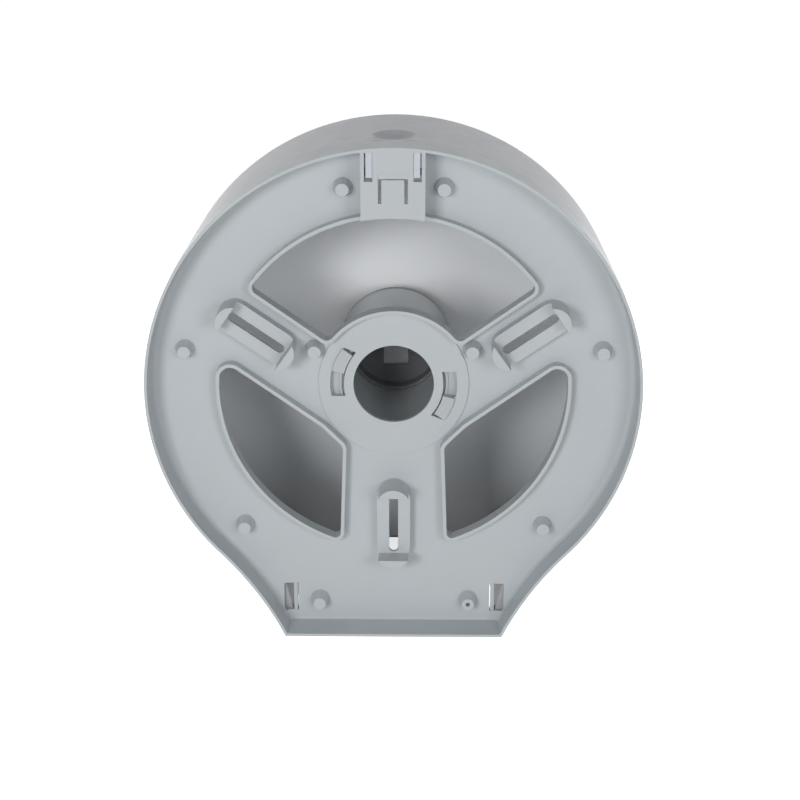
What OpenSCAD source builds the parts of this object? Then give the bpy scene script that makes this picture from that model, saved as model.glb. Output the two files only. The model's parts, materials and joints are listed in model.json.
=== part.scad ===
// Jumbo toilet roll dispenser for a wall: a round back plate on a flared foot, a cover that
// hinges at the foot and locks at the top, and a hub that carries a roll on a wide core.
// X runs to the right as seen from the wall side, Y away from the wall, and Z up.
// The origin is on the axis of the roll, in the plane of the wall.

/* [Body] */
// Radius of the round body, back plate and cover alike
body_r = 135; // [131:0.5:145]
// Half the width of the flat foot
foot_half_w = 61.2; // [59:0.2:64]
// How far the foot's lower edge hangs below the round body
foot_below = 10.4; // [9:0.2:14]
// Radius of the hollow curves that join the round body to the foot
flare_r = 190; // [160:5:240]
// Depth of the dispenser from the wall to the front of the cover
overall_depth = 113.5; // [112:0.5:130]

/* [Back plate] */
// Depth of the open tray between the wall and the plate
tray_depth = 18.5; // [17.5:0.5:20.5]
// Thickness of the plate
plate_t = 2; // [1.6:0.1:2.6]
// Thickness of the rim where it stands on the wall
rim_t = 1.6; // [1.2:0.1:2.2]
// Widening of the rim towards the plate, for each unit of depth
rim_draft_share = 0.03; // [0.01:0.005:0.05]
// Inner radius between the rim and the plate
tray_fillet = 3.5; // [1:0.5:5]
// Inner radius between the foot's lower wall and the plate
foot_fillet = 1; // [0.5:0.5:3]
// Thickness of the rib on the plate that locates the cover
guide_rib_t = 1.6; // [1.2:0.1:2.4]
// Height of the rib that locates the cover
guide_rib_h = 3; // [2:0.5:5]

/* [Windows] */
// Width of the plate between the body's edge and the windows
window_margin = 39.6; // [38:0.2:42]
// Distance from the roll's axis to the upper window
window_hub_r = 43.6; // [43:0.1:46]
// Slope of the two upper arms from level
arm_angle = 35.5; // [33:0.5:38]
// Width of each upper arm
arm_w = 41.8; // [38:0.2:44]
// Width of the lower arm halfway down
lower_arm_w = 58.4; // [52:0.4:62]
// Distance from the roll's axis to the bevelled inner corner of a side window
hub_bevel = 44.4; // [44:0.1:48]
// Radius of the upper window's corners
upper_corner_r = 4; // [2:0.5:6]
// Radius of the side windows' outer upper corners
side_corner_r = 6; // [3:0.5:8]
// Radius of the side windows' corners below the hub
hub_corner_r = 5; // [3:0.5:8]
// Radius of the side windows' lowest corners
lower_corner_r = 3; // [2:0.5:5]
// Thickness of the lip round each window
lip_t = 2; // [1.4:0.1:2.2]
// Height of the lip behind the plate
lip_h = 7; // [4:0.5:10]

/* [Screw slots] */
// Length of each wall screw slot
slot_l = 35.6; // [30:0.2:36]
// Width of each wall screw slot
slot_w = 5; // [4:0.1:6]
// Length of the raised block round a slot
boss_l = 47.4; // [45:0.2:48]
// Width of the raised block round a slot
boss_w = 18.6; // [16:0.2:20]
// Length of the open recess between the two tips that stand on the wall
boss_recess_l = 37.4; // [36.6:0.2:38]
// Depth from the wall to the slotted bridge
bridge_depth = 11.3; // [9:0.1:13]
// Thickness of the slotted bridge
bridge_t = 2.2; // [1.6:0.1:3]
// Wall of the block in front of the bridge
boss_wall = 2; // [1.4:0.1:2.6]
// Place of the side blocks to the side of the axis
side_boss_x = 74.3; // [72:0.1:76]
// Height of the side blocks above the axis
side_boss_z = 31; // [30:0.1:32]
// Slope of the side blocks
side_boss_tilt = 34.8; // [33:0.1:37]
// Distance of the lower block below the axis
lower_boss_drop = 79.8; // [76:0.2:84]

/* [Pegs] */
// Radius of a peg where it leaves the plate
peg_base_r = 5.6; // [4.5:0.1:6]
// Radius of a peg's flat tip
peg_tip_r = 3.5; // [2.5:0.1:4]
// Height of a peg behind the plate
peg_h = 8; // [5:0.5:10]
// Radius of the small hole in one peg
peg_hole_r = 1.2; // [0.8:0.1:1.6]

/* [Hub] */
// Radius of the hole through the plate at the roll's axis
hub_bore_r = 22.15; // [18:0.05:24]
// Radius of the raised disc round that hole
hub_pad_r = 41.3; // [40.5:0.1:41.5]
// Height of the raised disc
hub_pad_h = 1; // [0.6:0.1:1.6]
// Radius of the flange that lies on the plate and carries the tube
flange_r = 38.5; // [37:0.1:41]
// Thickness of that flange
flange_t = 2.4; // [2:0.1:3.5]
// Outer radius of the fixed tube
tube_r = 29.8; // [29.2:0.05:30.2]
// Wall of the fixed tube
tube_wall = 2; // [1.4:0.1:2.4]
// Free space between the hub's end cap and the front of the cover
cap_gap = 12.1; // [11:0.1:20]
// Outer radius of the sleeve that carries the paper core
sleeve_r = 32.5; // [32:0.1:33]
// Thickness of the end cap's rim
cap_t = 3.7; // [3:0.1:4.5]
// Turn that locks the hub into the plate
twist_angle = 24.5; // [24:0.1:27]

/* [Cover] */
// Wall thickness of the cover
cover_wall = 2.4; // [2:0.1:2.8]
// Narrowing of the cover towards its front, for each unit of depth
cover_draft_share = 0.029; // [0.01:0.001:0.035]
// Outer radius between the cover's side and its front
cover_edge_r = 7; // [5:0.5:10]
// Radius of the thumb hollow from side to side
thumb_r = 24; // [20:0.5:30]
// Radius of the thumb hollow from back to front
thumb_long_r = 31; // [30:0.5:40]
// Depth of the thumb hollow
thumb_depth = 3.9; // [3:0.1:4.5]

/* [Hinge] */
// Distance of the hinge axis in front of the plate
pivot_ahead = 4.3; // [4.2:0.1:5]
// Height of the hinge axis above the foot's lower edge
pivot_up = 4; // [3.8:0.1:4]
// Radius of a hinge pin
hinge_pin_r = 2; // [1.6:0.1:2.2]
// Thickness of a hinge ear
ear_t = 2; // [1.8:0.1:2.2]

/* [Lock] */
// Half the width of the lock housing
lock_half_w = 17; // [16.6:0.1:18]
// Wall of the lock housing
lock_wall = 1.8; // [1.4:0.1:1.9]
// Travel of the lock slide when the key presses it
slide_travel = 1.6; // [1.3:0.1:1.7]
// Overlap of the cover's hooks behind the slide
catch_overlap = 1; // [0.8:0.1:1.2]
// Outer diameter of the lock spring
spring_d = 6; // [5.4:0.1:6.6]
// Wire diameter of the lock spring
spring_wire = 0.8; // [0.6:0.05:0.9]
// Turns of the lock spring
spring_turns = 7; // [5:1:7]

/* [Tear strip] */
// Height of the tear strip with its teeth
strip_h = 13; // [11:0.5:16]
// Thickness of the tear strip
strip_t = 1; // [0.6:0.1:1.4]
// Pitch of the teeth
tooth_pitch = 3; // [2.5:0.1:4]
// Height of a tooth
tooth_h = 3.1; // [2:0.1:3.4]

/* [Hidden] */
$fn = 96;

// How far a cut runs past the face that it opens
overrun = 1;
// How far two curves that blend into each other overlap
blend_lap = 0.05;
// Radial clearance of a pin in its hole
running_gap = 0.05;
// Radial clearance of a turning or pushed-in tube
tube_gap = 0.1;
// Clearance between faces that lie on each other but move
face_gap = 0.1;
// Clearance between pieces that slide past each other
slide_gap = 0.3;
// Flat steps in a rounded edge
edge_steps = 6;
// How much farther than its corner a cut for a rounded corner reaches
corner_push_share = 1.2;

// Outline of the body and its foot, and the hollow curve between them
foot_drop = body_r + foot_below;
plate_front = tray_depth + plate_t;
plate_mid = tray_depth + plate_t / 2;
cover_front_in = overall_depth - cover_wall;
flare_span = body_r + flare_r;
foot_reach = norm([foot_half_w, foot_drop]);
foot_angle = atan2(foot_drop, foot_half_w);
flare_turn = acos((pow(foot_reach, 2) + pow(flare_span, 2) - pow(flare_r, 2)) / (2 * flare_span * foot_reach));
flare_angle = foot_angle - flare_turn;
flare_centre = (flare_span - blend_lap) * [cos(flare_angle), -sin(flare_angle)];

// Windows: along and square to an upper arm, square to the bevel, and along the lower arm
window_r = body_r - window_margin;
window_far = 2 * body_r;
arm_dir = [cos(arm_angle), sin(arm_angle)];
arm_normal = [-sin(arm_angle), cos(arm_angle)];
bevel_dir = [cos(45), -sin(45)];
lower_arm_taper = 2;
lower_dir = [sin(lower_arm_taper), -cos(lower_arm_taper)];
lower_normal = [cos(lower_arm_taper), sin(lower_arm_taper)];
lower_mid_r = (window_hub_r + window_r) / 2;
lower_arm_d = lower_arm_w / 2 * cos(lower_arm_taper) - lower_mid_r * sin(lower_arm_taper);

// Rib that locates the cover: how far it runs on below the level of the axis, in degrees
guide_rib_below = 25;

// Screw slots
bridge_front = bridge_depth + bridge_t;

// Pegs near the edge by share of the body's radius, those by the hub and in the foot apart
peg_radius_shares = [0.84, 0.858, 0.878];
peg_angles = [76.2, 9.8, -45];
hub_peg_r = 47.5;
hub_peg_angle = arm_angle - 10.5;
foot_peg_in = 19;
foot_peg_up = 15.2;

// Hub: bayonet heads behind the plate, their windows, and the stack along the axis
tube_bore_r = tube_r - tube_wall;
neck_r = tube_r + 3.8;
head_r = neck_r + 1;
head_t = 1.6;
head_from = 13.3;
head_to = 36.4;
head_turn_gap = 0.7;
bayonet_in_r = tube_bore_r - 0.4;
bayonet_end_slope = 4.2;
bayonet_r = neck_r + slide_gap;
entry_r = head_r + slide_gap;
bayonet_end_drop = entry_r * sin(twist_angle - head_from) + slide_gap;
head_front = tray_depth - hub_pad_h - face_gap;
flange_back = plate_front + face_gap;
flange_front = flange_back + flange_t;
cap_front = cover_front_in - cap_gap;
tube_front = cap_front - cap_t;
groove_depth = 1.2;
groove_rib_r = tube_bore_r + 0.9;
groove_rib_t = 1.3;
cap_skirt_r = tube_bore_r - tube_gap;
cap_skirt_l = 7.3;
cap_wall = 2;
cap_r = sleeve_r - face_gap;
cap_edge_r = 1;
cap_window_w = 14.5;
cap_window_top = 0.5;
cap_window_bottom = 14.6;

// Cover
thumb_y = plate_front + 18;
thumb_wall = 2.2;
thumb_axis_z = body_r - (thumb_y - plate_front) * cover_draft_share - thumb_depth + thumb_r;

// Hinge, measured in from the foot's corner
pivot_y = plate_front + pivot_ahead;
pivot_z = -foot_drop + pivot_up;
knuckle_r = pivot_up - face_gap;
hinge_boss_r = knuckle_r - face_gap;
ear_in = foot_half_w - 5.9;
ear_out = ear_in + ear_t;
ear_back = tray_depth + plate_t / 4;
ear_top_y = plate_front + 2;
ear_top_up = 27.4;
ear_reach_share = 0.9;
hinge_boss_in = ear_out + 0.4;
hinge_bore_end = foot_half_w - 0.2;
hinge_pin_end = hinge_bore_end - 0.2;
pin_head_r = 3.4;
pin_head_t = 1.2;
pin_head_out = ear_in - slide_gap;
hinge_slot_in = ear_in - 0.7;
hinge_slot_out = foot_half_w + 1.5;
hinge_slot_low = 7.8;
hinge_slot_high = 24.7;
web_back = plate_front + 0.5;
web_t = 2;
web_in = ear_out + 0.5;
web_slope_w = 4.9;
web_low = 4.4;
web_turn = 7.4;

// Lock, measured down from the top of the body
pocket_r = body_r - 2.1;
pocket_half_w = lock_half_w - lock_wall;
pocket_low_r = window_r + lip_t + lock_wall;
slide_half_w = pocket_half_w - 1;
slide_t = 5.5;
slide_h = 12.9;
leg_w = 3.4;
leg_back = 0.5;
slide_back = lock_wall + slide_gap;
slide_front = slide_back + slide_t;
slide_top = sqrt(pow(pocket_r, 2) - pow(slide_half_w, 2)) - slide_gap;
slide_low = slide_top - slide_h;
slide_bridge_h = 3.5;
bar_t = 3;
bar_h = 2.5;
bar_back = slide_front - bar_t;
bar_low = slide_low + 1.1;
bar_top = bar_low + bar_h;
channel_in = slide_half_w - leg_w - face_gap;
channel_out = pocket_half_w - 0.2;
channel_low = slide_low - slide_travel - slide_gap;
guide_w = 1.8;
guide_t = 1.5;
finger_w = 4;
finger_out = slide_half_w - leg_w - 1;
finger_h = 2.7;
finger_low = bar_top + slide_gap;
barb_front = bar_back - slide_gap;
barb_t = 2;
barb_low = bar_top - catch_overlap;
bracket_ahead = 1.9;
bracket_t = 2.4;
bracket_half_w = finger_out + 1;
tongue_half_w = 6;
tongue_slit_w = 1.8;
tongue_h = 12.6;
tongue_top = slide_low - 1;
tongue_gap = 0.3;
ledge_h = 2.8;
ledge_depth = 0.6;
key_notch_half_w = 11;
key_notch_depth = 1.2;
key_pad_half_w = 4;
key_pad_top = slide_top - 0.6;
key_pad_front = plate_front + key_notch_depth - slide_gap;

// Lock spring, between its shelf and the bar of the slide
spring_y = bar_back + bar_t / 2;
shelf_top = tongue_top - tongue_h - 0.5;
shelf_t = 2;
shelf_half_w = 6;
shelf_front = spring_y + spring_d / 2 + 0.9;
spring_r = (spring_d - spring_wire) / 2;
spring_stub_r = spring_r - spring_wire / 2 - 0.5;
shelf_stub_h = 3;
slide_stub_r = bar_t / 2 - face_gap;
slide_stub_h = 2;
spring_end_gap = 0.2;
spring_low = shelf_top + spring_end_gap + spring_wire / 2;
spring_high = bar_low - spring_end_gap - spring_wire / 2;
spring_closed_pitch = spring_wire + 0.5;
spring_sides = 6;
spring_rings = 8;

// Tear strip and the studs that hold it
strip_half_w = foot_half_w - 11.7;
strip_front = cover_front_in;
strip_back = strip_front - strip_t;
strip_up = 0.4;
strip_low = -foot_drop + strip_up;
strip_top = strip_low + strip_h;
strip_teeth = floor(2 * strip_half_w / tooth_pitch);
stud_r = 1.5;
stud_head_r = 2.6;
stud_head_t = 0.8;
stud_drop = 3.4;
stud_shares = [0.3, 0.85];
foot_recess_h = 4;
foot_recess_depth = 1.2;
foot_recess_half_w = strip_half_w + 0.5;

function on_circle(r, angle) = r * [cos(angle), sin(angle)];
function unit(v) = v / norm(v);
function down_to(r, across) = sqrt(pow(r, 2) - pow(across, 2));

// Point where the lines n . p = d cross
function line_cross(n1, d1, n2, d2) =
    let (det = n1[0] * n2[1] - n1[1] * n2[0])
    [(d1 * n2[1] - d2 * n1[1]) / det, (n1[0] * d2 - n2[0] * d1) / det];

// Inner face of a moulded wall, as points [distance in from the outline, depth]: it leans in
// with the draft from its open edge and ends in a rounded corner
function wall_face(start, open_y, end_y, draft, corner_r, lead) =
    let (lean = atan(draft),
         corner_y = end_y - corner_r,
         corner_in = start + (corner_y - open_y) * draft + corner_r / cos(lean))
    concat([[start - lead * draft, open_y - lead]],
           [for (i = [0:edge_steps])
               [corner_in, corner_y] + on_circle(corner_r, 180 - lean - (90 - lean) * i / edge_steps)]);

tray_face = wall_face(rim_t, 0, tray_depth, rim_draft_share, tray_fillet, overrun);
foot_face = wall_face(rim_t, 0, tray_depth, rim_draft_share, foot_fillet, overrun);
cover_face_out = wall_face(0, plate_front, overall_depth, cover_draft_share, cover_edge_r, 0);
cover_face_mid = wall_face(cover_wall / 2, plate_front, overall_depth - cover_wall / 2,
                           cover_draft_share, cover_edge_r - cover_wall / 2, 0);
cover_face_in = wall_face(cover_wall, plate_front, cover_front_in,
                          cover_draft_share, cover_edge_r - cover_wall, overrun);

// Height of the lock spring's wire above its lowest turn, after so many turns
spring_rise = spring_high - spring_low;
spring_pitch = (spring_rise - 2 * spring_closed_pitch) / (spring_turns - 2);
function spring_height(turn) =
    turn < 1 ? turn * spring_closed_pitch
    : turn > spring_turns - 1 ? spring_rise - (spring_turns - turn) * spring_closed_pitch
    : spring_closed_pitch + (turn - 1) * spring_pitch;
spring_line = [for (i = [0:spring_turns * spring_rings])
    let (turn = i / spring_rings, flat = on_circle(spring_r, 360 * turn))
    [flat[0], flat[1] + spring_y, spring_low + spring_height(turn)]];
spring_least_gap = min([for (i = [0:len(spring_line) - 1])
    for (k = [i + spring_rings / 2:len(spring_line) - 1])
        norm(spring_line[i] - spring_line[k])]) - spring_wire;
echo(spring_least_gap = spring_least_gap);

// Frames: a slab between two depths, a bar between two places to the side, a round body or a
// part of one on the roll's axis, and a pair of mirrored pieces
module slab(near, far) {
    translate([0, far, 0]) rotate([90, 0, 0]) linear_extrude(far - near) children();
}

module bar_x(from_x, to_x) {
    translate([from_x, 0, 0]) rotate([90, 0, 90]) linear_extrude(to_x - from_x) children();
}

module turned(from = 0, turn = 360) {
    rotate([-90, 0, 0]) rotate(from) rotate_extrude(angle = turn) children();
}

module both_sides() {
    children();
    mirror([1, 0, 0]) children();
}

module stadium(length, width) {
    square([length - width, width], center = true);
    for (end = [-1, 1]) translate([end * (length - width) / 2, 0]) circle(width / 2);
}

module sector(in_r, out_r, from, to) {
    far = 2 * out_r;
    intersection() {
        difference() {
            circle(out_r);
            circle(in_r);
        }
        polygon([[0, 0], on_circle(far, from), on_circle(far, (from + to) / 2), on_circle(far, to)]);
    }
}

// Tip that a rounded corner takes off: points are where the round starts, the corner, and
// where the round ends
module corner_tip(centre, r, points) {
    difference() {
        polygon(concat([centre], [for (p = points) centre + (p - centre) * corner_push_share]));
        translate(centre) circle(r + blend_lap / 2);
    }
}

// Outline of the body and of its foot
module foot_triangle(drop) {
    polygon([[0, 0], [drop / tan(flare_angle), -drop], [-drop / tan(flare_angle), -drop]]);
}

module body_outline() {
    circle(body_r);
    difference() {
        foot_triangle(foot_drop);
        both_sides() translate(flare_centre) circle(flare_r);
    }
}

// Solid inside a wall face: turned round the axis, and run out along the foot's hollow curves
module body_core(face, drop) {
    first = face[0];
    last = face[len(face) - 1];
    turned() polygon(concat([[0, first[1]]], [for (p = face) [body_r - p[0], p[1]]], [[0, last[1]]]));
    difference() {
        slab(first[1], last[1]) foot_triangle(drop);
        both_sides() translate([flare_centre[0], 0, flare_centre[1]]) turned() polygon(concat(
            [[0, first[1] - overrun], [flare_r + first[0], first[1] - overrun]],
            [for (p = face) [flare_r + p[0], p[1]]],
            [[flare_r + last[0], last[1] + overrun], [0, last[1] + overrun]]));
    }
}

// Wall along the foot's lower edge, outside a wall face
module foot_wall(face) {
    first = face[0];
    last = face[len(face) - 1];
    bar_x(-body_r, body_r) polygon(concat(
        [[first[1] - overrun, -foot_drop - overrun], [first[1] - overrun, first[0] - foot_drop]],
        [for (p = face) [p[1], p[0] - foot_drop]],
        [[last[1] + overrun, last[0] - foot_drop], [last[1] + overrun, -foot_drop - overrun]]));
}

// Windows, grown by the lip or not at all
module upper_window(grow) {
    apex = [0, -grow / cos(arm_angle)];
    mirrored_dir = [-arm_dir[0], arm_dir[1]];
    r = upper_corner_r;
    outer = arm_dir * down_to(window_r - r, r) + arm_normal * r;
    inner = arm_dir * down_to(window_hub_r + r, r) + arm_normal * r;
    difference() {
        intersection() {
            difference() {
                circle(window_r + grow);
                circle(window_hub_r - grow);
            }
            polygon([apex, apex + window_far * arm_dir, apex + window_far * mirrored_dir]);
        }
        both_sides() {
            corner_tip(outer, r + grow, [
                outer - arm_normal * (r + grow),
                arm_dir * down_to(window_r + grow, grow) - arm_normal * grow,
                unit(outer) * (window_r + grow)]);
            corner_tip(inner, r + grow, [
                inner - arm_normal * (r + grow),
                arm_dir * down_to(window_hub_r - grow, grow) - arm_normal * grow,
                unit(inner) * (window_hub_r - grow)]);
        }
    }
}

module side_window(grow) {
    top_d = arm_w - grow;
    bevel_d = hub_bevel - grow;
    lower_d = lower_arm_d - grow;
    bevel_top = line_cross(arm_normal, -top_d, bevel_dir, bevel_d);
    bevel_low = line_cross(bevel_dir, bevel_d, lower_normal, lower_d);
    outer = arm_dir * down_to(window_r - side_corner_r, arm_w + side_corner_r)
        - arm_normal * (arm_w + side_corner_r);
    hub = line_cross(bevel_dir, hub_bevel + hub_corner_r, lower_normal, lower_arm_d + hub_corner_r);
    low = lower_dir * down_to(window_r - lower_corner_r, lower_arm_d + lower_corner_r)
        + lower_normal * (lower_arm_d + lower_corner_r);
    difference() {
        intersection() {
            circle(window_r + grow);
            polygon([bevel_top, bevel_top + window_far * arm_dir,
                     bevel_top + window_far * (arm_dir + lower_dir),
                     bevel_low + window_far * lower_dir, bevel_low]);
        }
        corner_tip(outer, side_corner_r + grow, [
            outer + arm_normal * (side_corner_r + grow),
            arm_dir * down_to(window_r + grow, top_d) - arm_normal * top_d,
            unit(outer) * (window_r + grow)]);
        corner_tip(hub, hub_corner_r + grow, [
            hub - bevel_dir * (hub_corner_r + grow),
            bevel_low,
            hub - lower_normal * (hub_corner_r + grow)]);
        corner_tip(low, lower_corner_r + grow, [
            low - lower_normal * (lower_corner_r + grow),
            lower_dir * down_to(window_r + grow, lower_d) + lower_normal * lower_d,
            unit(low) * (window_r + grow)]);
    }
}

module windows(grow) {
    upper_window(grow);
    both_sides() side_window(grow);
}

// Blocks that stand on the wall round the screw slots
module at_bosses() {
    translate([0, -lower_boss_drop]) rotate(90) children();
    both_sides() translate([side_boss_x, side_boss_z]) rotate(side_boss_tilt) children();
}

module boss_cuts() {
    slab(-overrun, bridge_depth) at_bosses()
        square([boss_recess_l, boss_w + 2 * overrun], center = true);
    slab(bridge_depth - overrun, bridge_front + overrun) at_bosses() stadium(slot_l, slot_w);
    slab(bridge_front, plate_front + overrun) at_bosses()
        stadium(boss_l - 2 * boss_wall, boss_w - 2 * boss_wall);
}

// Tapered pegs behind the plate
module peg(place) {
    translate([place[0], plate_mid, place[1]]) rotate([90, 0, 0])
        cylinder(r1 = peg_base_r, r2 = peg_tip_r, h = peg_h + plate_t / 2);
}

foot_peg = [foot_half_w - foot_peg_in, foot_peg_up - foot_drop];

module pegs() {
    both_sides() {
        for (i = [0:len(peg_angles) - 1]) peg(on_circle(peg_radius_shares[i] * body_r, peg_angles[i]));
        peg(on_circle(hub_peg_r, hub_peg_angle));
        peg(foot_peg);
    }
}

// Bayonet windows in the hub: as wide as the heads where these enter, with a ledge farther on
// that the heads turn behind. One end is cut level, the other at a slope.
module bayonet_windows() {
    first = 180 - head_to - head_turn_gap;
    last = 180 - head_from + twist_angle + head_turn_gap;
    ledge_end = 180 - head_to + twist_angle - head_turn_gap;
    far = 2 * entry_r;
    end_out = on_circle(entry_r, first);
    end_in = on_circle(bayonet_in_r, first - bayonet_end_slope);
    end_dir = unit(end_out - end_in);
    for (side = [0, 180]) rotate(side) difference() {
        sector(bayonet_in_r, entry_r, first - bayonet_end_slope, last + bayonet_end_slope);
        sector(bayonet_r, entry_r + overrun, first - twist_angle, ledge_end);
        translate([-far, -far - bayonet_end_drop]) square(far);
        polygon([end_in - end_dir, end_out + end_dir, on_circle(far, first - 2 * bayonet_end_slope),
                 on_circle(bayonet_in_r, first - 2 * bayonet_end_slope)]);
    }
}

// Housing of the lock: a block behind the plate with a pocket open to the front
module lock_block() {
    slab(0, plate_mid) difference() {
        intersection() {
            translate([-lock_half_w, 0]) square([2 * lock_half_w, body_r]);
            circle(body_r - rim_t / 2);
        }
        circle(window_r + lip_t);
    }
}

module lock_cuts() {
    skin_near = -overrun;
    skin_far = lock_wall + overrun;
    slab(lock_wall, plate_front + overrun) difference() {
        intersection() {
            translate([-pocket_half_w, 0]) square([2 * pocket_half_w, body_r]);
            circle(pocket_r);
        }
        circle(pocket_low_r);
    }
    slab(skin_near, skin_far) both_sides() {
        intersection() {
            translate([channel_in, channel_low]) square([channel_out - channel_in, body_r - channel_low]);
            circle(pocket_r);
        }
        translate([tongue_half_w, tongue_top - tongue_h])
            square([tongue_slit_w, tongue_h + tongue_gap]);
    }
    slab(skin_near, skin_far) translate([-tongue_half_w - overrun, tongue_top])
        square([2 * (tongue_half_w + overrun), tongue_gap]);
    slab(skin_near, ledge_depth) translate([-tongue_half_w - tongue_slit_w, tongue_top])
        square([2 * (tongue_half_w + tongue_slit_w), ledge_h + tongue_gap]);
}

module lock_inside() {
    translate([-shelf_half_w, lock_wall / 2, shelf_top - shelf_t])
        cube([2 * shelf_half_w, shelf_front - lock_wall / 2, shelf_t]);
    translate([0, spring_y, shelf_top - shelf_t / 2])
        cylinder(r = spring_stub_r, h = shelf_stub_h + shelf_t / 2);
    both_sides() slab(slide_front + slide_gap, slide_front + slide_gap + guide_t)
        translate([pocket_half_w - guide_w, slide_low])
            square([guide_w + lock_wall / 2, slide_bridge_h]);
}

// Hinge ears in front of the plate, and the slots behind them
module hinge_ears() {
    top_z = ear_top_up - foot_drop;
    low_z = rim_t / 2 - foot_drop;
    both_sides() bar_x(ear_in, ear_out) difference() {
        union() {
            polygon([[ear_back, top_z], [ear_top_y, top_z], [pivot_y + knuckle_r * ear_reach_share, pivot_z],
                     [pivot_y, pivot_z], [pivot_y - knuckle_r / 2, low_z], [ear_back, low_z]]);
            translate([pivot_y, pivot_z]) circle(knuckle_r);
        }
        translate([pivot_y, pivot_z]) circle(hinge_pin_r + running_gap);
    }
}

module hinge_slots() {
    slab(tray_depth - overrun, plate_front + overrun) both_sides()
        translate([hinge_slot_in, hinge_slot_low - foot_drop])
            square([hinge_slot_out - hinge_slot_in, hinge_slot_high - hinge_slot_low]);
}

// Rib on the front that the cover's edge drops over
module guide_rib() {
    rib_r = body_r - cover_wall - slide_gap - face_gap;
    slab(plate_mid, plate_front + guide_rib_h) difference() {
        sector(rib_r - guide_rib_t, rib_r, -guide_rib_below, 180 + guide_rib_below);
        translate([-lock_half_w, 0]) square([2 * lock_half_w, body_r]);
    }
}

module back_plate() color([0.73, 0.76, 0.77]) {
    difference() {
        union() {
            difference() {
                slab(0, plate_front) body_outline();
                difference() {
                    body_core(tray_face, foot_drop);
                    foot_wall(foot_face);
                }
            }
            slab(tray_depth - hub_pad_h, plate_mid) circle(hub_pad_r);
            slab(tray_depth - lip_h, plate_mid) windows(lip_t);
            slab(0, plate_mid) at_bosses() stadium(boss_l, boss_w);
            pegs();
            lock_block();
            guide_rib();
        }
        slab(tray_depth - lip_h - overrun, plate_front + overrun) {
            windows(0);
            circle(hub_bore_r);
            bayonet_windows();
        }
        boss_cuts();
        lock_cuts();
        hinge_slots();
        translate([foot_peg[0], plate_front + overrun, foot_peg[1]]) rotate([90, 0, 0])
            cylinder(r = peg_hole_r, h = plate_t + peg_h + 2 * overrun);
    }
    lock_inside();
    hinge_ears();
}

// Cover
module thumb_hollow(grow) {
    translate([0, thumb_y, thumb_axis_z]) turned() intersection() {
        translate([thumb_r - thumb_long_r, 0]) circle(thumb_long_r + grow);
        translate([0, -thumb_long_r]) square(2 * thumb_long_r);
    }
}

module catch_bracket() {
    slab(plate_front + bracket_ahead, plate_front + bracket_ahead + bracket_t)
        translate([-bracket_half_w, barb_low])
            square([2 * bracket_half_w, body_r - barb_low]);
}

module catch_finger() {
    bar_x(finger_out - finger_w, finger_out) {
        translate([barb_front - barb_t, finger_low])
            square([plate_front + bracket_ahead + bracket_t / 2 - barb_front + barb_t, finger_h]);
        translate([barb_front - barb_t, barb_low]) square([barb_t, finger_low - barb_low + finger_h / 2]);
    }
}

module hinge_boss() {
    translate([hinge_boss_in, pivot_y, pivot_z]) rotate([0, 90, 0])
        cylinder(r = hinge_boss_r, h = body_r - hinge_boss_in);
}

module hinge_bore() {
    translate([hinge_boss_in - overrun, pivot_y, pivot_z]) rotate([0, 90, 0])
        cylinder(r = hinge_pin_r + running_gap, h = hinge_bore_end - hinge_boss_in + overrun);
}

module corner_web() {
    slab(web_back, web_back + web_t) polygon([
        [web_in, web_turn - foot_drop], [web_in + web_slope_w, hinge_slot_high - foot_drop],
        [body_r, hinge_slot_high - foot_drop], [body_r, web_low - foot_drop],
        [web_in + web_slope_w / 2, web_low - foot_drop]]);
}

module strip_studs() {
    both_sides() for (share = stud_shares)
        translate([share * strip_half_w, 0, strip_top - stud_drop]) turned() polygon([
            [0, strip_back - face_gap - stud_head_t], [stud_head_r, strip_back - face_gap - stud_head_t],
            [stud_head_r, strip_back - face_gap], [stud_r, strip_back - face_gap],
            [stud_r, cover_front_in + cover_wall / 2], [0, cover_front_in + cover_wall / 2]]);
}

module front_cover() color([0.64, 0.64, 0.66]) {
    difference() {
        union() {
            difference() {
                body_core(cover_face_out, foot_drop);
                body_core(cover_face_in, foot_drop + overrun);
                bar_x(-body_r, body_r) difference() {
                    translate([plate_front - overrun, -foot_drop - overrun])
                        square([pivot_ahead + overrun, pivot_up + overrun]);
                    translate([pivot_y, pivot_z]) circle(knuckle_r);
                }
            }
            intersection() {
                body_core(cover_face_mid, foot_drop);
                union() {
                    thumb_hollow(thumb_wall);
                    catch_bracket();
                    both_sides() {
                        hinge_boss();
                        corner_web();
                    }
                }
            }
            both_sides() catch_finger();
            strip_studs();
        }
        thumb_hollow(0);
        both_sides() hinge_bore();
        slab(plate_front - overrun, plate_front + key_notch_depth)
            translate([-key_notch_half_w, body_r - 2 * cover_wall])
                square([2 * key_notch_half_w, 2 * cover_wall + overrun]);
        slab(overall_depth - foot_recess_depth, overall_depth + overrun)
            translate([-foot_recess_half_w, -foot_drop - overrun])
                square([2 * foot_recess_half_w, foot_recess_h + overrun]);
    }
}

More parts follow.
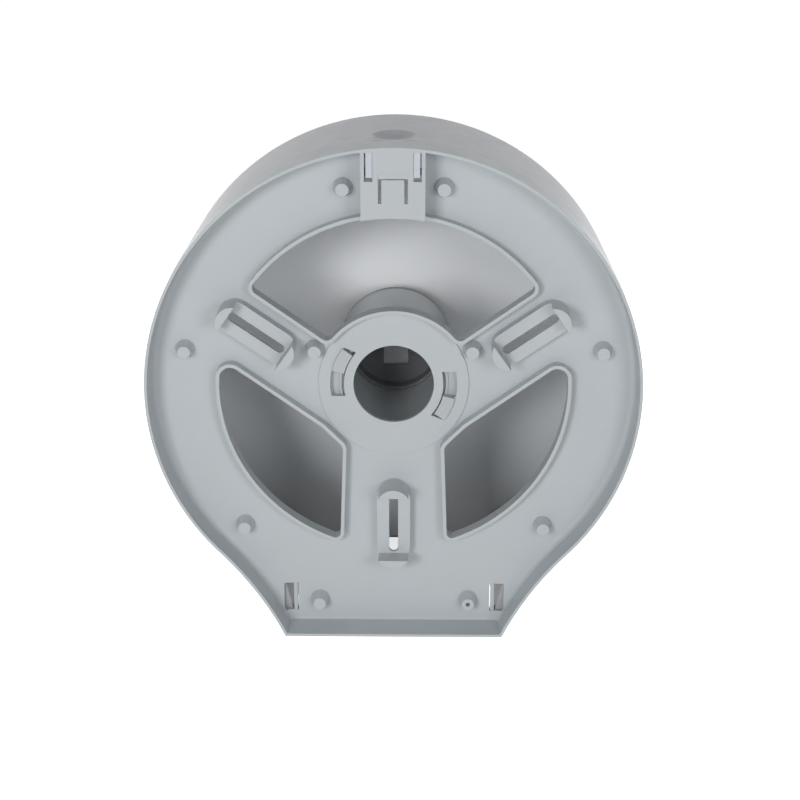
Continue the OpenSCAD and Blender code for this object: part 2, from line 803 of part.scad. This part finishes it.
// Hub that locks into the plate and carries the sleeve
module roll_spindle() color([0.70, 0.72, 0.73]) {
    rib_out_r = groove_rib_r + groove_rib_t;
    turned() polygon([
        [tube_bore_r, flange_back + groove_depth], [groove_rib_r, flange_back + groove_depth],
        [groove_rib_r, flange_back], [rib_out_r, flange_back],
        [rib_out_r, flange_back + groove_depth], [bayonet_r, flange_back + groove_depth],
        [bayonet_r, flange_back], [flange_r, flange_back],
        [flange_r, flange_front], [tube_r, flange_front],
        [tube_r, tube_front], [tube_bore_r, tube_front]]);
    head_back = head_front - head_t;
    head_in_r = tube_bore_r + face_gap;
    neck_front = flange_front - groove_depth / 2;
    for (side = [0, 180]) turned(side + head_from, head_to - head_from) polygon([
        [head_in_r, head_back], [head_r, head_back], [head_r, head_front],
        [neck_r, head_front], [neck_r, neck_front], [head_in_r, neck_front]]);
}

module core_sleeve() color([0.74, 0.76, 0.77]) {
    sleeve_bore_r = tube_r + tube_gap;
    turned() polygon([
        [sleeve_bore_r, flange_front + slide_gap], [sleeve_r, flange_front + slide_gap],
        [sleeve_r, tube_front - slide_gap], [sleeve_bore_r, tube_front - slide_gap]]);
}

module spindle_cap() color([0.70, 0.72, 0.73]) {
    difference() {
        turned() polygon(concat(
            [[0, cap_front - cap_wall], [cap_skirt_r - cap_wall, cap_front - cap_wall],
             [cap_skirt_r - cap_wall, tube_front - cap_skirt_l], [cap_skirt_r, tube_front - cap_skirt_l],
             [cap_skirt_r, tube_front], [cap_r, tube_front]],
            [for (i = [0:edge_steps])
                [cap_r - cap_edge_r, cap_front - cap_edge_r] + on_circle(cap_edge_r, 90 * i / edge_steps)],
            [[0, cap_front]]));
        slab(cap_front - cap_wall - overrun, cap_front + overrun)
            translate([-cap_window_w / 2, -cap_window_bottom])
                square([cap_window_w, cap_window_bottom - cap_window_top]);
    }
}

// Lock slide, with the pad that the key presses down, and its spring
module lock_slide() color([0.86, 0.89, 0.92]) {
    leg_in = slide_half_w - leg_w;
    leg_top_r = pocket_r - face_gap;
    both_sides() slab(leg_back, slide_front) polygon([
        [leg_in, slide_low], [slide_half_w, slide_low],
        [slide_half_w, down_to(leg_top_r, slide_half_w)], [leg_in, down_to(leg_top_r, leg_in)]]);
    slab(slide_front - overrun, key_pad_front) translate([-key_pad_half_w, slide_top - slide_bridge_h])
        square([2 * key_pad_half_w, key_pad_top - slide_top + slide_bridge_h]);
    slab(slide_back, slide_front) translate([-slide_half_w, slide_top - slide_bridge_h])
        square([2 * slide_half_w, slide_bridge_h]);
    slab(bar_back, slide_front) translate([-slide_half_w, bar_low])
        square([2 * slide_half_w, bar_h]);
    translate([0, spring_y, bar_low - slide_stub_h]) cylinder(r = slide_stub_r, h = slide_stub_h + bar_h / 2);
}

module lock_spring() color([0.62, 0.63, 0.65]) {
    count = len(spring_line);
    ring_points = [for (i = [0:count - 1]) for (k = [0:spring_sides - 1])
        let (before = spring_line[max(i - 1, 0)],
             after = spring_line[min(i + 1, count - 1)],
             along = unit(after - before),
             out = unit([spring_line[i][0], spring_line[i][1] - spring_y, 0]),
             across = unit(out - (out * along) * along),
             round = on_circle(spring_wire / 2, 360 * k / spring_sides))
        spring_line[i] + round[0] * across + round[1] * cross(along, across)];
    sides = [for (i = [0:count - 2]) for (k = [0:spring_sides - 1])
        let (a = i * spring_sides + k, b = i * spring_sides + (k + 1) % spring_sides)
        for (face = [[a, a + spring_sides, b], [b, a + spring_sides, b + spring_sides]]) face];
    last = (count - 1) * spring_sides;
    ends = [for (k = [1:spring_sides - 2]) for (face = [[0, k, k + 1], [last, last + k + 1, last + k]]) face];
    polyhedron(ring_points, concat(sides, ends));
}

// Toothed strip that cuts the paper
module tear_strip() color([0.78, 0.79, 0.80]) {
    half_w = strip_teeth * tooth_pitch / 2;
    root_z = strip_low + tooth_h;
    slab(strip_back, strip_front) difference() {
        polygon(concat(
            [for (i = [0:strip_teeth - 1]) each [
                [i * tooth_pitch - half_w, root_z], [(i + 0.5) * tooth_pitch - half_w, strip_low]]],
            [[half_w, root_z], [half_w, strip_top], [-half_w, strip_top]]));
        both_sides() for (share = stud_shares)
            translate([share * strip_half_w, strip_top - stud_drop]) circle(stud_r + tube_gap);
    }
}

// Hinge pins, pushed through the ears into the cover from inside
module hinge_pin() {
    translate([pin_head_out - pin_head_t, pivot_y, pivot_z]) rotate([0, 90, 0])
        cylinder(r = pin_head_r, h = pin_head_t);
    translate([pin_head_out - pin_head_t / 2, pivot_y, pivot_z]) rotate([0, 90, 0])
        cylinder(r = hinge_pin_r, h = hinge_pin_end - pin_head_out + pin_head_t / 2);
}

module hinge_pin_right() color([0.70, 0.72, 0.73]) hinge_pin();

module hinge_pin_left() color([0.70, 0.72, 0.73]) mirror([1, 0, 0]) hinge_pin();

back_plate();
front_cover();
roll_spindle();
core_sleeve();
spindle_cap();
lock_slide();
lock_spring();
tear_strip();
hinge_pin_left();
hinge_pin_right();
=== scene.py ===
"""Jumbo toilet roll dispenser, seen from its wall side. Metres, Z up, +Y away from the wall."""
import json
import math

import bpy
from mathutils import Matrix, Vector


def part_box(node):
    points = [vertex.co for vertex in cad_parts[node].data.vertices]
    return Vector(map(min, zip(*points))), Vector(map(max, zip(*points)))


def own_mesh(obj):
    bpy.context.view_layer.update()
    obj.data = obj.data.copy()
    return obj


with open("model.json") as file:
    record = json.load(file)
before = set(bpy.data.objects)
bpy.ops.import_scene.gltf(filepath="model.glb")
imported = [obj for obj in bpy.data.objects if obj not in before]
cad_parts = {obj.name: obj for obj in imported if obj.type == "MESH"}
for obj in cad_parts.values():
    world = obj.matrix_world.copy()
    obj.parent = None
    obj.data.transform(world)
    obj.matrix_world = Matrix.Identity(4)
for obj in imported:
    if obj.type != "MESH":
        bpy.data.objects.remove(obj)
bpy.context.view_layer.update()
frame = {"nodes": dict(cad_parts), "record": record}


def add_object(name, data):
    """New object in the scene that shows this data."""
    made = bpy.data.objects.new(name, data)
    bpy.context.scene.collection.objects.link(made)
    return made


# Camera: a long lens a little above the hub, turned down to it
CAMERA_PLACE = Vector((0.016727, -0.944478, 0.328574))
CAMERA_PITCH = 0.337699
CAMERA_YAW = -0.013765
CAMERA_LENS_MM = 83.22
SENSOR_MM = 36.0
CLIP_START = 0.01
CLIP_END = 50.0


def make_camera():
    data = bpy.data.cameras.new("camera")
    data.lens = CAMERA_LENS_MM
    data.sensor_width = SENSOR_MM
    data.clip_start = CLIP_START
    data.clip_end = CLIP_END
    camera = add_object("camera", data)
    camera.location = CAMERA_PLACE
    camera.rotation_euler = (math.pi / 2 - CAMERA_PITCH, 0.0, -CAMERA_YAW)
    bpy.context.scene.camera = camera


make_camera()


# Colours
WHITE = (1.0, 1.0, 1.0, 1.0)


def linear(red, green, blue):
    """Display colour, 0 to 255, as the scene's linear colour."""
    def channel(value):
        share = value / 255
        return share / 12.92 if share <= 0.04045 else ((share + 0.055) / 1.055) ** 2.4
    return (channel(red), channel(green), channel(blue), 1.0)


def toned(colour, share):
    """Colour with its brightness times a share."""
    return tuple(channel * share for channel in colour[:3]) + (1.0,)


# Node trees: each pattern of noise is its scale, detail and roughness
NOISE_LOW = 0.3
NOISE_HIGH = 0.7
CLOUDS = (22.0, 4.0, 0.6)
SMEARS = (90.0, 3.0, 0.6)
WAVES = (60.0, 2.0, 0.4)
GRAIN = (2600.0, 2.0, 0.5)
DRAWN_LINES = (900.0, 4.0, 0.7)


def fill(tree, node, values):
    """Fill a node's inputs: a socket is linked to its input, and any other value is set there."""
    for name, value in values.items():
        if isinstance(value, bpy.types.NodeSocket):
            tree.links.new(value, node.inputs[name])
        else:
            node.inputs[name].default_value = value


def add_node(tree, kind, values=None, **settings):
    """New node with these settings and inputs."""
    node = tree.nodes.new(kind)
    for name, value in settings.items():
        setattr(node, name, value)
    fill(tree, node, values or {})
    return node


def noise(tree, place, pattern):
    """Noise in a pattern, mostly between NOISE_LOW and NOISE_HIGH."""
    scale, detail, roughness = pattern
    texture = add_node(tree, "ShaderNodeTexNoise",
                       {"Vector": place, "Scale": scale, "Detail": detail, "Roughness": roughness})
    return texture.outputs["Fac"]


def spread(tree, value, source, target):
    """Value that runs over one range, brought to run over another."""
    scaled = add_node(tree, "ShaderNodeMapRange",
                      {"Value": value, "From Min": source[0], "From Max": source[1],
                       "To Min": target[0], "To Max": target[1]})
    return scaled.outputs["Result"]


def varied(tree, value, middle, shares):
    """Noise brought to run between two shares of a number."""
    return spread(tree, value, (NOISE_LOW, NOISE_HIGH), (middle * shares[0], middle * shares[1]))


def ramp(tree, value, *stops):
    """Colour along a value: each stop is a place and its colour, in order."""
    node = add_node(tree, "ShaderNodeValToRGB", {"Fac": value})
    elements = node.color_ramp.elements
    elements[0].position, elements[0].color = stops[0]
    elements[1].position, elements[1].color = stops[-1]
    for place, colour in stops[1:-1]:
        elements.new(place).color = colour
    return node.outputs["Color"]


def mixed(tree, share, first, second):
    """Colour between two, by a share."""
    blend = add_node(tree, "ShaderNodeMix", data_type="RGBA")
    used = {socket.name: socket for socket in blend.inputs if socket.enabled}
    tree.links.new(share, used["Factor"])
    tree.links.new(first, used["A"])
    tree.links.new(second, used["B"])
    return next(socket for socket in blend.outputs if socket.enabled)


def bump(tree, height, strength, distance, under=None):
    """Relief on the plain surface, or on the one whose normal is given as under."""
    values = {"Height": height, "Strength": strength, "Distance": distance}
    if under is not None:
        values["Normal"] = under
    return add_node(tree, "ShaderNodeBump", values).outputs["Normal"]


def faces_point(tree, place, centre):
    """1 on the faces of a shell that look to a point within it, 0 on its outside."""
    inward = add_node(tree, "ShaderNodeVectorMath", {0: centre, 1: place}, operation="SUBTRACT")
    normal = add_node(tree, "ShaderNodeNewGeometry").outputs["True Normal"]
    turned = add_node(tree, "ShaderNodeVectorTransform", {0: normal}, vector_type="NORMAL",
                      convert_from="WORLD", convert_to="OBJECT")
    share = add_node(tree, "ShaderNodeVectorMath", {0: turned.outputs[0], 1: inward.outputs[0]},
                     operation="DOT_PRODUCT")
    either = add_node(tree, "ShaderNodeMath", {0: share.outputs["Value"], 1: 0.0},
                      operation="GREATER_THAN")
    return either.outputs[0]


def by_height(tree, place, box, stops):
    """Colour that runs from the foot of a box to its top, by stops from 0 to 1."""
    height = add_node(tree, "ShaderNodeSeparateXYZ", {0: place}).outputs["Z"]
    return ramp(tree, spread(tree, height, (box[0][2], box[1][2]), (0.0, 1.0)), *stops)


def new_material(name):
    material = bpy.data.materials.new(name)
    material.use_nodes = True
    return material


# Plastics: lengths in metres, and the shares of a roughness between which it varies
EDGE_RADIUS = 0.0003
EDGE_SAMPLES = 6
WAVE_HEIGHT = 0.001
GRAIN_HEIGHT = 0.0001
PLASTIC_SHEEN = (0.88, 1.12)


def moulded_plastic(name, colour, roughness, tone=0.02, grain=0.12, wave=0.08, gloss=0.5, inside=None):
    """Moulded plastic: faint clouds in its tone, fine grain, slight waves, and soft edges.

    Given a shell's box and stops from its foot to its top, the shell's inner faces get painted light
    instead of the plastic's colour: paler than the outside, lighter towards the top, with painted shade
    at the foot."""
    material = new_material(name)
    tree = material.node_tree
    place = add_node(tree, "ShaderNodeTexCoord").outputs["Object"]

    shown = ramp(tree, noise(tree, place, CLOUDS),
                 (NOISE_LOW, toned(colour, 1 - tone)), (NOISE_HIGH, toned(colour, 1 + tone)))
    # Painted light: the inner faces of the shell take a paler colour, lighter towards the top, with
    # painted shade at the foot
    if inside is not None:
        box, stops = inside
        centre = (0.0, (box[0][1] + box[1][1]) / 2, 0.0)
        shown = mixed(tree, faces_point(tree, place, centre), shown, by_height(tree, place, box, stops))

    soft_edges = add_node(tree, "ShaderNodeBevel", {"Radius": EDGE_RADIUS}, samples=EDGE_SAMPLES)
    waves = bump(tree, noise(tree, place, WAVES), wave, WAVE_HEIGHT, soft_edges.outputs["Normal"])
    fill(tree, tree.nodes["Principled BSDF"], {
        "Base Color": shown,
        "Roughness": varied(tree, noise(tree, place, SMEARS), roughness, PLASTIC_SHEEN),
        "Specular IOR Level": gloss,
        "Normal": bump(tree, noise(tree, place, GRAIN), grain, GRAIN_HEIGHT, waves),
    })
    return material


COVER_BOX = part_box("front_cover")
# Painted light and shade on the cover's inner faces: paler than its outside, lighter towards the top,
# and darkened at the foot as painted shade
COVER_PAINTED_LIGHT_LOW = linear(206, 209, 212)
COVER_PAINTED_LIGHT_HIGH = linear(248, 250, 252)
COVER_PAINTED_LIGHT_STOPS = ((0.06, toned(COVER_PAINTED_LIGHT_LOW, 0.4)), (0.26, COVER_PAINTED_LIGHT_LOW), (0.42, COVER_PAINTED_LIGHT_HIGH))
PLASTICS = {
    "plate_plastic": {"colour": linear(190, 196, 199), "roughness": 0.42, "tone": 0.015, "gloss": 0.3},
    "cover_plastic": {"colour": linear(176, 178, 184), "roughness": 0.33, "tone": 0.015, "grain": 0.03,
                      "wave": 0.03, "gloss": 0.2, "inside": (COVER_BOX, COVER_PAINTED_LIGHT_STOPS)},
    "hub_plastic": {"colour": linear(182, 187, 190), "roughness": 0.38},
    "sleeve_plastic": {"colour": linear(186, 191, 194), "roughness": 0.2, "grain": 0.03},
    # Painted shade: the cap's dark grey stands for the deep shade at the far end of the spindle's tube
    "cap_painted_shade": {"colour": linear(105, 107, 109), "roughness": 0.4},
    "slide_plastic": {"colour": linear(198, 202, 211), "roughness": 0.4},
}


# Steels: the drawn lines run along the axis whose scale is small
STEEL_ANISOTROPY = 0.4
STEEL_SHADE = 0.9
STEEL_SHEEN = (0.8, 1.25)
LINE_RELIEF = 0.08
LINE_HEIGHT = 0.0001


def drawn_steel(name, colour, roughness, along):
    """Steel with fine lines along one direction."""
    material = new_material(name)
    tree = material.node_tree
    place = add_node(tree, "ShaderNodeTexCoord").outputs["Object"]
    stretched = add_node(tree, "ShaderNodeMapping", {"Vector": place, "Scale": along})
    lines = noise(tree, stretched.outputs["Vector"], DRAWN_LINES)
    fill(tree, tree.nodes["Principled BSDF"], {
        "Base Color": ramp(tree, lines, (NOISE_LOW, toned(colour, STEEL_SHADE)), (NOISE_HIGH, colour)),
        "Metallic": 1.0,
        "Anisotropic": STEEL_ANISOTROPY,
        "Roughness": varied(tree, lines, roughness, STEEL_SHEEN),
        "Normal": bump(tree, lines, LINE_RELIEF, LINE_HEIGHT),
    })
    return material


STEELS = {
    "spring_steel": {"colour": linear(196, 198, 202), "roughness": 0.3, "along": (1.0, 1.0, 0.2)},
    "strip_steel": {"colour": linear(205, 206, 208), "roughness": 0.32, "along": (0.05, 1.0, 1.0)},
}

MATERIALS = {name: moulded_plastic(name, **look) for name, look in PLASTICS.items()}
MATERIALS.update({name: drawn_steel(name, **look) for name, look in STEELS.items()})
FINISH = {part["node"]: part["material_slot"] for part in frame["record"]["subparts"]}
# The spindle's cap takes the dark grey of painted shade instead of the hub's plastic
FINISH["spindle_cap"] = "cap_painted_shade"


# Surfaces of the solids: lengths in metres, and how far each small piece's rims are rounded
WELD_DISTANCE = 0.000002
FLAT_ANGLE = math.radians(0.4)
CREASE_ANGLE = math.radians(32)
RIM_SEGMENTS = 2
RIM_ROUND = {
    "core_sleeve": 0.0003,
    "spindle_cap": 0.0002,
    "tear_strip": 0.0001,
    "hinge_pin_left": 0.0002,
    "hinge_pin_right": 0.0002,
}


def make_creases():
    """Node group that marks as sharp every edge whose faces meet at more than the crease angle."""
    group = bpy.data.node_groups.new("creases", "GeometryNodeTree")
    for side in ("INPUT", "OUTPUT"):
        group.interface.new_socket("Geometry", in_out=side, socket_type="NodeSocketGeometry")
    start = add_node(group, "NodeGroupInput")
    angle = add_node(group, "GeometryNodeInputMeshEdgeAngle")
    steep = add_node(group, "FunctionNodeCompare",
                     {"A": angle.outputs["Unsigned Angle"], "B": CREASE_ANGLE}, operation="GREATER_THAN")
    sharp = add_node(group, "GeometryNodeSetShadeSmooth",
                     {"Geometry": start.outputs["Geometry"], "Selection": steep.outputs["Result"],
                      "Shade Smooth": False}, domain="EDGE")
    add_node(group, "NodeGroupOutput", {"Geometry": sharp.outputs["Geometry"]})
    return group


def add_modifier(node, name, kind, **settings):
    modifier = node.modifiers.new(name, kind)
    for key, value in settings.items():
        setattr(modifier, key, value)


def dress(name, node, creases):
    """Join a node's faces, keep its creases, round a small one's rims, and give it its material."""
    mesh = node.data
    if "custom_normal" in mesh.attributes:
        mesh.attributes.remove(mesh.attributes["custom_normal"])
    mesh.materials.clear()
    mesh.materials.append(MATERIALS[FINISH[name]])
    mesh.shade_smooth()
    add_modifier(node, "weld", "WELD", merge_threshold=WELD_DISTANCE)
    if name in RIM_ROUND:
        add_modifier(node, "flats", "DECIMATE", decimate_type="DISSOLVE", angle_limit=FLAT_ANGLE)
        add_modifier(node, "rims", "BEVEL", width=RIM_ROUND[name], segments=RIM_SEGMENTS,
                     limit_method="ANGLE", angle_limit=CREASE_ANGLE, use_clamp_overlap=False)
    add_modifier(node, "creases", "NODES", node_group=creases)
    add_modifier(node, "shading", "WEIGHTED_NORMAL", keep_sharp=True)


def dress_all():
    creases = make_creases()
    for name, node in frame["nodes"].items():
        dress(name, node, creases)


dress_all()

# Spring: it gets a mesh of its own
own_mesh(frame["nodes"]["lock_spring"])


# Floor and background: the floor lies below the foot, so that the open cover stays above it
FLOOR_DROP = 0.16
FLOOR_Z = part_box("back_plate")[0][2] - FLOOR_DROP
FLOOR_SIZE = 12.0
FLOOR_COLOUR = (0.88, 0.88, 0.88, 1.0)
FLOOR_LIFT = 0.85
WORLD_LIGHT = 0.185


def white_seen(tree):
    """1 on rays that only show the background: from the camera, a reflection or through glass."""
    rays = add_node(tree, "ShaderNodeLightPath").outputs
    either = add_node(tree, "ShaderNodeMath", {0: rays["Is Camera Ray"], 1: rays["Is Glossy Ray"]},
                      operation="MAXIMUM")
    every = add_node(tree, "ShaderNodeMath", {0: either.outputs[0], 1: rays["Is Transmission Ray"]},
                     operation="MAXIMUM")
    return every.outputs[0]


def make_floor():
    half = FLOOR_SIZE / 2
    corners = [(x * half, y * half, FLOOR_Z) for x, y in ((-1, -1), (1, -1), (1, 1), (-1, 1))]
    mesh = bpy.data.meshes.new("floor")
    mesh.from_pydata(corners, [], [(0, 1, 2, 3)])
    floor = add_object("floor", mesh)
    material = new_material("floor")
    tree = material.node_tree
    tree.nodes.clear()
    paper = add_node(tree, "ShaderNodeBsdfDiffuse", {"Color": FLOOR_COLOUR})
    strength = add_node(tree, "ShaderNodeMath", {0: white_seen(tree), 1: FLOOR_LIFT},
                        operation="MULTIPLY")
    lift = add_node(tree, "ShaderNodeEmission", {"Color": WHITE, "Strength": strength.outputs[0]})
    both = add_node(tree, "ShaderNodeAddShader", {0: paper.outputs[0], 1: lift.outputs[0]})
    add_node(tree, "ShaderNodeOutputMaterial", {"Surface": both.outputs[0]})
    mesh.materials.append(material)


def make_world():
    world = bpy.data.worlds.new("studio")
    bpy.context.scene.world = world
    world.use_nodes = True
    tree = world.node_tree
    tree.nodes.clear()
    light = add_node(tree, "ShaderNodeBackground", {"Color": WHITE, "Strength": WORLD_LIGHT})
    white = add_node(tree, "ShaderNodeBackground", {"Color": WHITE, "Strength": 1.0})
    choice = add_node(tree, "ShaderNodeMixShader",
                      {0: white_seen(tree), 1: light.outputs[0], 2: white.outputs[0]})
    add_node(tree, "ShaderNodeOutputWorld", {"Surface": choice.outputs[0]})


make_floor()
make_world()


# Lamps: each has its place, the point it lights, the side of its square and its power in watts
HUB = (0.0, 0.0, 0.0)
COVER = (0.0, 0.05, 0.0)
LAMPS = {
    "left_lamp": ((-0.55, -1.354, 0.337), HUB, 0.4, 8.4),
    "right_lamp": ((0.686, -1.291, 0.337), HUB, 0.5, 4.4),
    "fill_lamp": ((0.096, -1.367, 0.61), HUB, 0.3, 0.8),
    "top_lamp": ((0.0, 0.39, 1.45), COVER, 0.8, 2.5),
    "cover_left_lamp": ((-1.0, 1.12, 0.1), COVER, 0.5, 6.5),
    "cover_right_lamp": ((1.0, 1.12, 0.1), COVER, 0.5, 6.5),
}


def add_softbox(name, place, aim, size, power):
    """Square lamp at a place, turned to a point."""
    data = bpy.data.lights.new(name, "AREA")
    data.shape = "SQUARE"
    data.size = size
    data.energy = power
    lamp = add_object(name, data)
    lamp.location = place
    lamp.rotation_euler = (Vector(aim) - Vector(place)).to_track_quat("-Z", "Y").to_euler()


for lamp_name, lamp_settings in LAMPS.items():
    add_softbox(lamp_name, *lamp_settings)

bpy.context.scene.view_settings.view_transform = "Standard"
